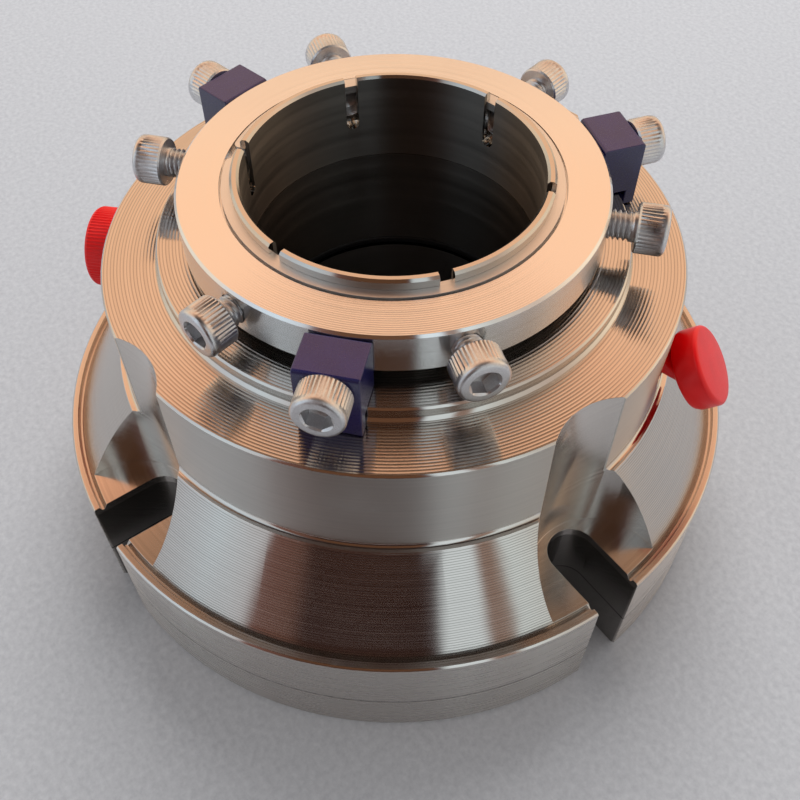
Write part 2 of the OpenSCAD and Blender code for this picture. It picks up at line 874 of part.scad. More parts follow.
grub_screw(2);  // grub_screw_3
drive_pin(0);  // drive_pin_1
drive_pin(1);  // drive_pin_2
spring(0);  // spring_1
spring(1);  // spring_2
spring(2);  // spring_3
spring(3);  // spring_4
spring(4);  // spring_5
spring(5);  // spring_6
spring(6);  // spring_7
spring(7);  // spring_8
rotary_face();
rotary_o_ring();
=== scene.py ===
"""Looks of a cartridge mechanical seal, dressed over its CAD frame. Lengths are in metres."""

import logging
import math
from dataclasses import dataclass
from enum import Enum
from typing import Any, Callable, Iterable, Mapping, Sequence

import bpy
from mathutils import Matrix, Vector


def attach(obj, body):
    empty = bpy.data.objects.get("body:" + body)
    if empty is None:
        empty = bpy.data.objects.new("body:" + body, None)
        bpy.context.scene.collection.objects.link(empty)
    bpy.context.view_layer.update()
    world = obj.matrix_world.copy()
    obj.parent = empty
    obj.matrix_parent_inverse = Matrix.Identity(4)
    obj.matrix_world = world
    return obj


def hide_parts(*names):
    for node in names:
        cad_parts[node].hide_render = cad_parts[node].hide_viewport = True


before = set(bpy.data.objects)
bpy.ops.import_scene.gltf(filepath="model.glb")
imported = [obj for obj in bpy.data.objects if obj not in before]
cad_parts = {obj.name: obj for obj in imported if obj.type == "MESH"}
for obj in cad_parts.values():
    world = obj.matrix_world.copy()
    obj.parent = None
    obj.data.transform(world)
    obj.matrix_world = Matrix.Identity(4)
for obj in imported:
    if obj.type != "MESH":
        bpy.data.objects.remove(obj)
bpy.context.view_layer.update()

Band = tuple[float, float]
Colour = tuple[float, float, float, float]
Material = bpy.types.Material
Mesh = bpy.types.Mesh
Node = bpy.types.Node
Socket = bpy.types.NodeSocket
Thing = bpy.types.Object
Tree = bpy.types.NodeTree

MM = 0.001
UP = Vector((0.0, 0.0, 1.0))
# Turn of the picture's right-hand direction from +X, which is also the azimuth of the picture's view
PICTURE_TURN = math.radians(54.0)
PICTURE_RIGHT = Vector((math.cos(PICTURE_TURN), math.sin(PICTURE_TURN), 0.0))
PICTURE_AWAY = UP.cross(PICTURE_RIGHT)
# Bands that hold nearly all values of one noise texture, and of two added together
NOISE_BAND = (0.3, 0.7)
NOISE_PAIR_BAND = (0.6, 1.4)

# Blender's names of the node types that come up most
MATH, RANGE = "ShaderNodeMath", "ShaderNodeMapRange"
MIX, NOISE = "ShaderNodeMix", "ShaderNodeTexNoise"

log = logging.getLogger("seal")


def linear(code: str) -> Colour:
    """Turn an sRGB hex colour to linear light.

    Args:
        code: Colour such as "#c9c3bb".

    Returns:
        Red, green, blue and alpha, from 0 to 1.
    """
    parts = [int(code[i : i + 2], 16) / 255 for i in (1, 3, 5)]
    red, green, blue = (c / 12.92 if c <= 0.04045 else ((c + 0.055) / 1.055) ** 2.4 for c in parts)
    return red, green, blue, 1.0


def set_inputs(tree: Tree, node: Node, inputs: Mapping[str | int, Any]) -> None:
    """Give a node its input values and links.

    Args:
        tree: Node tree that holds the node.
        node: Node to fill.
        inputs: Input name or number to a plain value, an output socket, or a node for its first live output.
    """
    for key, value in inputs.items():
        if isinstance(value, Node):
            value = next(output for output in value.outputs if output.enabled)
        if isinstance(value, Socket):
            tree.links.new(value, node.inputs[key])
        else:
            node.inputs[key].default_value = value


def add_node(tree: Tree, kind: str, inputs: Mapping[str | int, Any] | None = None, **settings: Any) -> Node:
    """Add a node with its settings, its input values and its links.

    Args:
        tree: Node tree that takes the node.
        kind: Blender's name of the node type.
        inputs: What set_inputs takes.
        settings: Properties of the node, such as operation.

    Returns:
        The new node.
    """
    node = tree.nodes.new(kind)
    for name, value in settings.items():
        setattr(node, name, value)
    set_inputs(tree, node, inputs or {})
    return node


def spread(source: Band, target: Band = (0.0, 1.0)) -> dict[int, float]:
    """Give the numbered inputs that spread one band of values over another in a Map Range node."""
    return {1: source[0], 2: source[1], 3: target[0], 4: target[1]}


def around_band(band: Band, unit: float = 1.0) -> dict[int, float]:
    """Give the numbered inputs that find a band's values in a Compare node."""
    return {1: (band[0] + band[1]) / 2 * unit, 2: (band[1] - band[0]) / 2 * unit}


def fill_ramp(node: Node, stops: Sequence[tuple[float, str]]) -> None:
    """Set a colour ramp's stops.

    Args:
        node: Colour ramp node.
        stops: Position from 0 to 1 and hex colour of each stop, in order.
    """
    elements = node.color_ramp.elements
    while len(elements) < len(stops):
        elements.new(1.0)
    for element, (place, code) in zip(elements, stops):
        element.position = place
        element.color = linear(code)


def new_material(name: str) -> tuple[Material, Tree, Node]:
    """Make a material with only a Principled shader.

    Args:
        name: Name of the material.

    Returns:
        The material, its node tree and its Principled node.
    """
    material = bpy.data.materials.new(name)
    material.use_nodes = True
    tree = material.node_tree
    tree.nodes.clear()
    shader = add_node(tree, "ShaderNodeBsdfPrincipled")
    add_node(tree, "ShaderNodeOutputMaterial", {"Surface": shader})
    return material, tree, shader


class Along(Enum):
    """Coordinate that a tool fed along as it cut its grooves."""

    RADIUS = "radius"
    HEIGHT = "height"


@dataclass(frozen=True)
class ToolZone:
    """Faces that one tool pass left, with the grooves of its feed.

    Heights, radii, pitch and depth are in millimetres. The facing is the vertical part of the
    surface normal, 1 for a level face and 0 for an upright wall. The roughness replaces the
    steel's own. The painted shade multiplies its colour, painting the shade of faces that little
    light reaches, and the painted crest shade darkens the grooves' crests, painted shade for the grooves' own
    shadowing.
    """

    along: Along
    pitch: float
    depth: float
    facing: Band
    radius: Band = (0.0, 200.0)
    height: Band = (-1.0, 200.0)
    roughness: float | None = None
    tone: float = 1.0
    line: float = 0.0


@dataclass(frozen=True)
class Spot:
    """Sockets that say where on the seal a point of a surface lies, and how far up it faces."""

    place: Socket
    radius: Socket
    height: Socket
    facing: Socket

    @classmethod
    def read(cls, tree: Tree) -> "Spot":
        """Add the nodes that find a point's place.

        Args:
            tree: Material's node tree.

        Returns:
            The point's place, distance from the shaft axis, height and vertical part of its normal.
        """
        source = add_node(tree, "ShaderNodeTexCoord")
        parts = add_node(tree, "ShaderNodeSeparateXYZ", {0: source.outputs["Object"]})
        flat = add_node(tree, "ShaderNodeCombineXYZ", {0: parts.outputs[0], 1: parts.outputs[1]})
        radius = add_node(tree, "ShaderNodeVectorMath", {0: flat}, operation="LENGTH")
        normal = add_node(tree, "ShaderNodeSeparateXYZ", {0: source.outputs["Normal"]})
        return cls(source.outputs["Object"], radius.outputs["Value"], parts.outputs[2], normal.outputs[2])


@dataclass(frozen=True)
class TurnedSteel:
    """Stainless steel turned on a lathe: bright, cool grey, with circular feed grooves.

    The grooves catch the room as fine concentric lines, and smear reflections across them. Some
    zones darken the colour as painted shade, on the grooves' crests or over whole faces. Bands
    that differ a little in colour and roughness run round the part, under softer clouds.
    """

    name: str
    colour: str
    roughness: float
    zones: tuple[ToolZone, ...]
    anisotropy: float = 0.95
    even_colour: bool = False
    ring_width_mm: float = 0.9
    cloud_mm: float = 16.667
    wear: Band = (0.8, 1.2)
    tint: Band = (0.93, 1.04)
    seam_mm: float | None = None
    seam_width_mm: float = 0.28
    seam_tone: float = 0.15

    def build(self) -> Material:
        """Make the material.

        Returns:
            A metal whose bump holds the grooves of all zones.
        """
        material, tree, shader = new_material(self.name)
        spot = Spot.read(tree)
        deepest = max(zone.depth for zone in self.zones)
        relief: Any = 0.0
        shade: Any = 1.0
        level: Any = self.roughness
        for zone in self.zones:
            mask = self._mask(tree, zone, spot)
            groove = self._groove(tree, zone, spot)
            share = add_node(tree, MATH, {0: mask, 1: zone.depth / deepest}, operation="MULTIPLY")
            cut = {0: groove, 1: share, 2: relief}
            relief = add_node(tree, MATH, cut, operation="MULTIPLY_ADD")
            # Painted shade: the grooves' crests are darkened in the colour, for the shadow of their flanks
            if zone.line:
                crest = add_node(tree, MATH, {0: groove, 1: 2.0}, operation="POWER")
                crest = add_node(tree, MATH, {0: crest, 1: mask}, operation="MULTIPLY")
                darker = {0: crest, 1: -zone.line, 2: shade}
                shade = add_node(tree, MATH, darker, operation="MULTIPLY_ADD")
            if zone.roughness is not None:
                rougher = {0: mask, 1: zone.roughness - self.roughness, 2: level}
                level = add_node(tree, MATH, rougher, operation="MULTIPLY_ADD")
            # Painted shade: the zone's colour is darkened where little light reaches
            if zone.tone != 1.0:
                toned = {0: mask, 1: zone.tone - 1.0, 2: shade}
                shade = add_node(tree, MATH, toned, operation="MULTIPLY_ADD")
        along = add_node(tree, MATH, {0: spot.radius, 1: spot.height}, operation="SUBTRACT")
        wide = {0: along, 1: 1 / (self.ring_width_mm * MM)}
        scaled = add_node(tree, MATH, wide, operation="MULTIPLY")
        bands = {"W": scaled, "Scale": 1.0, "Detail": 3.0}
        rings = add_node(tree, NOISE, bands, noise_dimensions="1D")
        puffs = {"Vector": spot.place, "Scale": 1 / (self.cloud_mm * MM), "Detail": 3.0}
        cloud = add_node(tree, NOISE, puffs)
        mixed = add_node(tree, MATH, {0: rings, 1: cloud}, operation="ADD")
        wear = add_node(tree, RANGE, {0: mixed, **spread(NOISE_PAIR_BAND, self.wear)})
        finish = {
            "Base Color": linear(self.colour) if self.even_colour else self._tinted(tree, spot, rings, shade),
            "Metallic": 1.0,
            "Roughness": add_node(tree, MATH, {0: level, 1: wear}, operation="MULTIPLY"),
            "Anisotropic": self.anisotropy,
            # A quarter turn from the radial tangent lays the smear across the grooves
            "Anisotropic Rotation": 0.25,
            "Tangent": add_node(tree, "ShaderNodeTangent", direction_type="RADIAL", axis="Z"),
            "Normal": add_node(tree, "ShaderNodeBump", {"Height": relief, "Distance": deepest * MM}),
        }
        set_inputs(tree, shader, finish)
        return material

    def _tinted(self, tree: Tree, spot: Spot, rings: Node, shade: Any) -> Node:
        """Vary the steel's colour from ring to ring, darken it with the zones' painted shade, and darken it
        in the seam.

        Args:
            tree: Material's node tree.
            spot: Place of the point.
            rings: Noise that runs round the part.
            shade: Node or value of the zones' painted shade.

        Returns:
            Node with the colour.
        """
        tint = add_node(tree, RANGE, {0: rings, **spread(NOISE_BAND, self.tint)})
        tint = add_node(tree, MATH, {0: tint, 1: shade}, operation="MULTIPLY")
        if self.seam_mm is not None:
            edges = (self.seam_mm - self.seam_width_mm / 2, self.seam_mm + self.seam_width_mm / 2)
            seam = {0: spot.height, **around_band(edges, MM)}
            seam = add_node(tree, MATH, seam, operation="COMPARE")
            dark = add_node(tree, RANGE, {0: seam, **spread((0.0, 1.0), (1.0, self.seam_tone))})
            tint = add_node(tree, MATH, {0: tint, 1: dark}, operation="MULTIPLY")
        colour = {0: linear(self.colour)[:3], 1: tint}
        return add_node(tree, "ShaderNodeVectorMath", colour, operation="MULTIPLY")

    @staticmethod
    def _groove(tree: Tree, zone: ToolZone, spot: Spot) -> Node:
        """Make a zone's grooves: round valleys between sharp crests.

        Args:
            tree: Material's node tree.
            zone: Zone that the grooves are in.
            spot: Place of the point.

        Returns:
            Node whose value is the surface height, from 0 to 1.
        """
        feed = spot.radius if zone.along is Along.RADIUS else spot.height
        phase = add_node(tree, MATH, {0: feed, 1: math.pi / (zone.pitch * MM)}, operation="MULTIPLY")
        wave = add_node(tree, MATH, {0: phase}, operation="SINE")
        arch = add_node(tree, MATH, {0: wave}, operation="ABSOLUTE")
        return add_node(tree, MATH, {0: 1.0, 1: arch}, operation="SUBTRACT")

    @staticmethod
    def _mask(tree: Tree, zone: ToolZone, spot: Spot) -> Node:
        """Give 1 on the faces of a zone and 0 elsewhere.

        Args:
            tree: Material's node tree.
            zone: Zone to find.
            spot: Place of the point.

        Returns:
            Node with the mask.
        """
        mask: Any = 1.0
        bands = (zone.facing, zone.radius, zone.height)
        for source, band, unit in zip((spot.facing, spot.radius, spot.height), bands, (1.0, MM, MM)):
            inside = add_node(tree, MATH, {0: source, **around_band(band, unit)}, operation="COMPARE")
            mask = add_node(tree, MATH, {0: mask, 1: inside}, operation="MULTIPLY")
        return mask


@dataclass(frozen=True)
class FormedSteel:
    """Cold-formed or ground stainless steel: soft bright grey with faint grain, on screws, pins and wire."""

    name: str
    colour: str
    roughness: float
    grain_mm: float
    grain_depth_mm: float = 0.004
    cloud_mm: float = 3.333
    wear: Band = (0.7, 1.3)
    tint: Band = (0.9, 1.05)

    def build(self) -> Material:
        """Make the material.

        Returns:
            A metal with a fine grain and clouded roughness.
        """
        material, tree, shader = new_material(self.name)
        place = add_node(tree, "ShaderNodeTexCoord").outputs["Object"]
        specks = {"Vector": place, "Scale": 1 / (self.grain_mm * MM), "Detail": 4.0}
        grain = add_node(tree, NOISE, specks)
        puffs = {"Vector": place, "Scale": 1 / (self.cloud_mm * MM), "Detail": 2.0}
        cloud = add_node(tree, NOISE, puffs)
        rough = (self.roughness * self.wear[0], self.roughness * self.wear[1])
        bump = {"Height": grain, "Distance": self.grain_depth_mm * MM}
        tint = add_node(tree, RANGE, {0: grain, **spread(NOISE_BAND, self.tint)})
        colour = {0: linear(self.colour)[:3], 1: tint}
        finish = {
            "Base Color": add_node(tree, "ShaderNodeVectorMath", colour, operation="MULTIPLY"),
            "Metallic": 1.0,
            "Roughness": add_node(tree, RANGE, {0: cloud, **spread(NOISE_BAND, rough)}),
            "Normal": add_node(tree, "ShaderNodeBump", bump),
        }
        set_inputs(tree, shader, finish)
        return material


@dataclass(frozen=True)
class SolidFinish:
    """A coated or moulded surface: a coloured body under a smooth or grainy skin.

    It serves anodised aluminium, moulded plastic, rubber, carbon and ceramic, by its values.
    """

    name: str
    colour: str
    shade: str
    roughness: float
    ior: float
    grain_mm: float
    grain_depth_mm: float
    soft_light: float = 0.0
    soft_reach_mm: tuple[float, float, float] = (1.2, 0.5, 0.3)
    cloud_mm: float = 6.667
    patches: Band = (0.35, 0.65)
    wear: Band = (0.85, 1.15)

    def build(self) -> Material:
        """Make the material.

        Returns:
            A non-metal that wavers between two close colours.
        """
        material, tree, shader = new_material(self.name)
        place = add_node(tree, "ShaderNodeTexCoord").outputs["Object"]
        specks = {"Vector": place, "Scale": 1 / (self.grain_mm * MM), "Detail": 3.0}
        grain = add_node(tree, NOISE, specks)
        puffs = {"Vector": place, "Scale": 1 / (self.cloud_mm * MM), "Detail": 3.0}
        cloud = add_node(tree, NOISE, puffs)
        blend = add_node(tree, RANGE, {0: cloud, **spread(self.patches)})
        colours = {"Factor": blend, "A": linear(self.colour), "B": linear(self.shade)}
        rough = (self.roughness * self.wear[0], self.roughness * self.wear[1])
        bump = {"Height": grain, "Distance": self.grain_depth_mm * MM}
        finish = {
            "Base Color": add_node(tree, MIX, colours, data_type="RGBA"),
            "Roughness": add_node(tree, RANGE, {0: grain, **spread(NOISE_BAND, rough)}),
            "IOR": self.ior,
            "Subsurface Weight": self.soft_light,
            "Subsurface Radius": [reach * MM for reach in self.soft_reach_mm],
            "Normal": add_node(tree, "ShaderNodeBump", bump),
        }
        set_inputs(tree, shader, finish)
        return material


# Height of the step in the sleeve's bore, in millimetres
BORE_STEP = 70.2
LEVEL = (0.9, 1.1)
UPRIGHT = (-0.12, 0.12)
UNDERSIDE = (-1.1, -0.9)
CONE_FACING = (0.4, 0.7)
BORE_WALL = (29.0, 30.9)

# Turned 316 stainless. Wide feed grooves on the level faces of hub and boss, and finer ones on the
# cone, draw fine bright and dark lines, the dark ones partly painted shade on the grooves' crests.
# Those on the walls are too shallow to see, and only dull what the walls mirror; the hub wall's
# colour is a little darkened as painted shade. The slots' walls are out of the light, and their
# colour is darkened as painted shade.
GLAND_STEEL = TurnedSteel(
    "stainless_turned_gland",
    "#d2cdc8",
    0.13,
    (
        ToolZone(Along.RADIUS, 0.66, 0.024, LEVEL, (34.0, 61.0), (72.0, 76.0), roughness=0.14, line=0.45),
        ToolZone(Along.HEIGHT, 0.46, 0.01, CONE_FACING, (61.5, 76.0), (28.6, 48.2), roughness=0.17, line=0.5),
        ToolZone(Along.HEIGHT, 0.5, 0.002, UPRIGHT, (60.6, 60.9), (48.0, 72.0), roughness=0.43, tone=0.86),
        ToolZone(Along.HEIGHT, 0.8, 0.002, UPRIGHT, (77.8, 78.2), roughness=0.28),
        ToolZone(Along.RADIUS, 0.5, 0.004, LEVEL, (75.0, 78.2), (28.0, 30.0), roughness=0.2),
        ToolZone(Along.HEIGHT, 0.8, 0.0, UPRIGHT, (50.0, 77.5), (-1.0, 27.5), tone=0.45),
        ToolZone(Along.RADIUS, 0.5, 0.008, UNDERSIDE),
    ),
    seam_mm=13.2,
)
# The collar's faces were finished with a slower feed, so its lines are finer, and it is the palest part
COLLAR_STEEL = TurnedSteel(
    "stainless_turned_collar",
    "#e7e7e7",
    0.15,
    (
        ToolZone(Along.RADIUS, 0.5, 0.012, LEVEL, roughness=0.18),
        ToolZone(Along.HEIGHT, 0.5, 0.003, UPRIGHT, (42.5, 43.2), roughness=0.24),
        ToolZone(Along.RADIUS, 0.4, 0.006, UNDERSIDE),
    ),
    even_colour=True,
)
# The sleeve's outside is ground nearly to a mirror; its bore is honed round, which draws what it
# mirrors into upright stripes, and little light gets down to it, so the bore's walls and the
# level ledge in it are darkened in colour as painted shade
SLEEVE_STEEL = TurnedSteel(
    "stainless_ground_sleeve",
    "#cbc7c2",
    0.12,
    (
        ToolZone(Along.HEIGHT, 0.7, 0.002, UPRIGHT, BORE_WALL, (BORE_STEP, 91.0), roughness=0.45, tone=0.32),
        ToolZone(Along.HEIGHT, 0.7, 0.002, UPRIGHT, BORE_WALL, (1.0, BORE_STEP), roughness=0.35, tone=0.3),
        ToolZone(Along.RADIUS, 0.5, 0.0, LEVEL, (29.0, 31.5), (1.0, 86.0), tone=0.12),
    ),
    ring_width_mm=3.0,
)
# Ground flat and then tumbled: pale and satin, so it hardly mirrors the room
RING_STEEL = TurnedSteel(
    "stainless_ground_ring",
    "#e7e7e7",
    0.42,
    (ToolZone(Along.RADIUS, 0.5, 0.004, LEVEL),),
    anisotropy=0.4,
    even_colour=True,
)
# Cold-headed stainless screws: brighter and rougher than the turned parts
SCREW_STEEL = FormedSteel("stainless_cold_headed_screw", "#dadadc", 0.36, 0.35)
# Ground pins: smooth, with small clear highlights
PIN_STEEL = FormedSteel("stainless_ground_pin", "#c4c2be", 0.2, 0.5)
# Drawn spring wire: greyer, with a thin line of light along it
WIRE_STEEL = FormedSteel("stainless_drawn_wire", "#a7a9ac", 0.25, 0.2)
# Aluminium oxide layer dyed navy over the block, satin, with a purple cast where it mirrors warm light
CLIP_BLUE = SolidFinish("aluminium_anodised_navy", "#0f0e48", "#121150", 0.3, 1.76, 0.25, 0.004)
# Soft moulded polyethylene: saturated red, waxy highlights
PLUG_RED = SolidFinish("polyethylene_moulded_red", "#f20509", "#e80308", 0.36, 1.48, 0.3, 0.006, 0.05)
# Moulded seal rubber: black with a dull sheen
SEAL_RUBBER = SolidFinish("fluoroelastomer_moulded_black", "#17181a", "#1d1e20", 0.5, 1.5, 0.2, 0.006)
# Lapped carbon graphite: dark grey with a soft shine
CARBON = SolidFinish("carbon_graphite_lapped", "#2c2c2e", "#343436", 0.35, 1.8, 0.15, 0.003)
# Lapped silicon carbide: mid grey with a glassy shine
CERAMIC = SolidFinish("silicon_carbide_lapped", "#47494d", "#505256", 0.22, 2.0, 0.2, 0.002)
# Turned filled PTFE: ivory and matt
BUSH_WHITE = SolidFinish("ptfe_filled_turned", "#d8d2c4", "#cdc6b6", 0.45, 1.38, 0.3, 0.005)

# Finish and material slot of each CAD node, by the longest of these words that its name holds
FINISHES: dict[str, tuple[TurnedSteel | FormedSteel | SolidFinish, str]] = {
    "gland_b": (GLAND_STEEL, "gland_steel"),
    "sleeve": (SLEEVE_STEEL, "sleeve_steel"),
    "drive_collar": (COLLAR_STEEL, "collar_steel"),
    "spring_carrier": (COLLAR_STEEL, "collar_steel"),
    "retaining_ring": (RING_STEEL, "spring_steel"),
    "spring_": (WIRE_STEEL, "spring_steel"),
    "setting_clip": (CLIP_BLUE, "clip_anodised"),
    "_screw": (SCREW_STEEL, "screw_steel"),
    "_pin": (PIN_STEEL, "screw_steel"),
    "port_plug": (PLUG_RED, "plug_plastic"),
    "_o_ring": (SEAL_RUBBER, "rubber"),
    "rotary_face": (CARBON, "carbon"),
    "stationary_seat": (CERAMIC, "seat_ceramic"),
    "throttle_bush": (BUSH_WHITE, "bush_plastic"),
}
# Width of the edge break on the CAD nodes whose names start so
EDGE_BREAKS = {
    "setting_clip": 0.25 * MM,
    "gland_body": 0.25 * MM,
    "gland_base": 0.15 * MM,
    "drive_collar": 0.25 * MM,
    "sleeve": 0.5 * MM,
}
# Turn of each collar screw's socket, in radians
SCREW_SPINS = (0.2, 0.75, 0.4, 0.95, 0.1, 0.6)


def node_points(name: str) -> list[Vector]:
    """Give a CAD node's vertices, in the shared frame."""
    return [vertex.co.copy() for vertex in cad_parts[name].data.vertices]


def finish_mesh(mesh: Mesh, sharp_deg: float, material: Material) -> None:
    """Shade a mesh smooth, with its sharp edges kept, and give it its material.

    Args:
        mesh: Mesh to shade.
        sharp_deg: Angle above which an edge stays sharp.
        material: Material of all its faces.
    """
    mesh.polygons.foreach_set("use_smooth", [True] * len(mesh.polygons))
    mesh.set_sharp_from_angle(angle=math.radians(sharp_deg))
    mesh.materials.append(material)


def lofted(name: str, loops: Sequence[Sequence[Vector]]) -> Mesh:
    """Join loops of equal length into a closed skin.

    Args:
        name: Name of the mesh.
        loops: Loops of points, from one end to the other, each run the same way round.

    Returns:
        The new mesh, with a face on its first and last loops.
    """
    count = len(loops[0])
    last = (len(loops) - 1) * count
    points = [tuple(point) for loop in loops for point in loop]
    faces: list[tuple[int, ...]] = []
    for low in range(0, last, count):
        for i in range(count):
            j = (i + 1) % count
            faces.append((low + i, low + j, low + count + j, low + count + i))
    faces.append(tuple(reversed(range(count))))
    faces.append(tuple(range(last, last + count)))
    mesh = bpy.data.meshes.new(name)
    mesh.from_pydata(points, [], faces)
    mesh.update()
    return mesh


def place_piece(name: str, mesh: Mesh, body: str, nodes: Iterable[str]) -> Thing:
    """Put a mesh in the scene as a piece that stands for CAD nodes.

    Args:
        name: Piece name.
        mesh: Mesh in the shared frame.
        body: CAD body that it rides on.
        nodes: CAD nodes that it stands for.

    Returns:
        The new object.
    """
    piece = bpy.data.objects.new(name, mesh)
    bpy.context.scene.collection.objects.link(piece)
    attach(piece, body)
    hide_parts(*nodes)
    log.info("piece %s rides on %s", name, body)
    return piece


def outward(angle: float, radius: float, height: float) -> Matrix:
    """Give the placement whose +Z points outward from the shaft axis.

    Args:
        angle: Angle about the shaft, in radians.
        radius: Distance from the shaft axis.
        height: Height above the bolting face.

    Returns:
        Placement matrix.
    """
    out = Vector((math.cos(angle), math.sin(angle), 0.0))
    turn = Matrix((UP.cross(out), UP, out)).transposed().to_4x4()
    return Matrix.Translation(out * radius + UP * height) @ turn


@dataclass
class CapScrew:
    """A socket-head cap screw in the collar: knurled head, hexagon socket and rolled thread.

    The knurl rows are heights on the head in millimetres and shares of the tooth's depth. The
    insets keep the head's crests and the thread's just inside the CAD node. The thread's depth is
    a share of its pitch, and the thread's flank and flat shape its groove.
    """

    node: str
    material: Material
    spin: float
    head_d: float = 10.0 * MM
    head_h: float = 6.0 * MM
    head_inset: float = 0.04 * MM
    skirt: float = 0.35 * MM
    nose: float = 0.9 * MM
    nose_steps: int = 5
    around: int = 144
    tooth_depth: float = 0.2 * MM
    tooth: tuple[float, ...] = (0.0, 0.35, 1.0, 0.35)
    knurl_rows: tuple[Band, ...] = ((0.35, 0.25), (0.55, 1.0), (4.1, 1.0), (4.5, 0.6), (4.8, 0.1))
    hex_w: float = 5.0 * MM
    hex_depth: float = 3.0 * MM
    hex_lead: float = 0.12 * MM
    hex_lead_depth: float = 0.3 * MM
    drill_share: float = 0.45
    drill_ledge: float = 0.02 * MM
    drill_tip_r: float = 0.3 * MM
    drill_tip_depth: float = 0.9 * MM
    thread_d: float = 6.0 * MM
    thread_inset: float = 0.02 * MM
    thread_depth: float = 0.6
    thread_flank: float = 1.25
    thread_flat: float = 0.15
    thread_around: int = 32
    thread_rows: int = 7
    pitch: float = 1.0 * MM
    plain: float = 0.5 * MM
    tip: float = 0.8 * MM
    sharp_deg: float = 28.0

    def build(self) -> Thing:
        """Build the screw where its CAD node lies.

        Returns:
            The screw's piece.
        """
        points = node_points(self.node)
        middle = sum(points, Vector()) / len(points)
        angle = math.atan2(middle.y, middle.x)
        out = Vector((math.cos(angle), math.sin(angle), 0.0))
        reach = [point.dot(out) for point in points]
        height = (max(p.z for p in points) + min(p.z for p in points)) / 2
        length = max(reach) - min(reach) - self.head_h
        place = outward(angle, max(reach) - self.head_h, height)
        mesh = lofted(self.node + "_mesh", self._head_loops() + self._socket_loops())
        self._join(mesh, lofted(self.node + "_shank", self._thread_loops(length)))
        mesh.transform(place @ Matrix.Rotation(self.spin, 4, "Z"))
        finish_mesh(mesh, self.sharp_deg, self.material)
        return place_piece("knurled_" + self.node, mesh, "rotor", [self.node])

    def _ring(self, radius: Callable[[float], float], height: float) -> list[Vector]:
        """Give a loop of points round the screw at a height, whose radius varies with the angle."""
        turns = [2 * math.pi * i / self.around for i in range(self.around)]
        return [Vector((radius(a) * math.cos(a), radius(a) * math.sin(a), height)) for a in turns]

    def _circle(self, radius: float, height: float) -> list[Vector]:
        """Give a round loop of points at a height."""
        return self._ring(lambda _: radius, height)

    def _valley(self, angle: float) -> float:
        """Give the depth of the knurl at an angle, from 0 on a crest to 1 in a valley."""
        return self.tooth[round(angle * self.around / (2 * math.pi)) % len(self.tooth)]

    def _hexagon(self, angle: float) -> float:
        """Give the radius of the hexagon at an angle."""
        sector = math.pi / 3
        return self.hex_w / 2 / math.cos((angle + sector / 2) % sector - sector / 2)

    def _head_loops(self) -> list[list[Vector]]:
        """Give the head's outside.

        Returns:
            Loops of points, from its underside to the edge of its front face.
        """
        crest = self.head_d / 2 - self.head_inset
        loops = [self._circle(self.head_d / 2 - self.skirt, 0.0)]
        for height, share in self.knurl_rows:
            cut = self.tooth_depth * share
            loops.append(self._ring(lambda angle: crest - cut * self._valley(angle), height * MM))
        for step in range(self.nose_steps + 1):
            turn = math.pi / 2 * step / self.nose_steps
            radius = crest - self.nose * (1 - math.cos(turn))
            loops.append(self._circle(radius, self.head_h - self.nose * (1 - math.sin(turn))))
        return loops

    def _socket_loops(self) -> list[list[Vector]]:
        """Give the socket.

        Returns:
            Loops of the front face's inner edge, the hexagon and its drilled bottom.
        """
        floor = self.head_h - self.hex_depth
        return [
            self._circle(self._hexagon(math.pi / 6) + self.hex_lead, self.head_h),
            self._ring(self._hexagon, self.head_h - self.hex_lead_depth),
            self._ring(self._hexagon, floor),
            self._circle(self.hex_w * self.drill_share, floor - self.drill_ledge),
            self._circle(self.drill_tip_r, floor - self.drill_tip_depth),
        ]

    def _thread_loops(self, length: float) -> list[list[Vector]]:
        """Give the threaded shank from its tip up to the head.

        Args:
            length: Length under the head.

        Returns:
            Loops of points with the thread's ridge turned in.
        """
        crest = self.thread_d / 2
        rows = int(length / self.pitch * self.thread_rows)
        loops = []
        for row in range(rows + 1):
            z = -length + length * row / rows
            fade = min(1.0, max(0.0, (-z - self.plain) / self.pitch))
            loop = []
            for i in range(self.thread_around):
                angle = 2 * math.pi * i / self.thread_around
                phase = (z / self.pitch - i / self.thread_around) % 1.0
                groove = min(1.0, max(0.0, self.thread_flank * abs(2 * phase - 1) - self.thread_flat))
                radius = crest - self.thread_inset - self.thread_depth * self.pitch * groove * fade
                radius = min(radius, crest - self.tip + (z + length))
                loop.append(Vector((radius * math.cos(angle), radius * math.sin(angle), z)))
            loops.append(loop)
        return loops

    @staticmethod
    def _join(mesh: Mesh, other: Mesh) -> None:
        """Add another mesh's faces to a mesh, and drop the other.

        Args:
            mesh: Mesh that grows.
            other: Mesh that goes into it.
        """
        first = len(mesh.vertices)
        points = [v.co[:] for v in mesh.vertices] + [v.co[:] for v in other.vertices]
        faces = [tuple(p.vertices) for p in mesh.polygons]
        faces += [tuple(first + i for i in p.vertices) for p in other.polygons]
        mesh.clear_geometry()
        mesh.from_pydata(points, [], faces)
        mesh.update()
        bpy.data.meshes.remove(other)


class PlugSkin(Enum):
    """How the side of a port plug was moulded."""

    SMOOTH = "smooth"
    RIBBED = "ribbed"


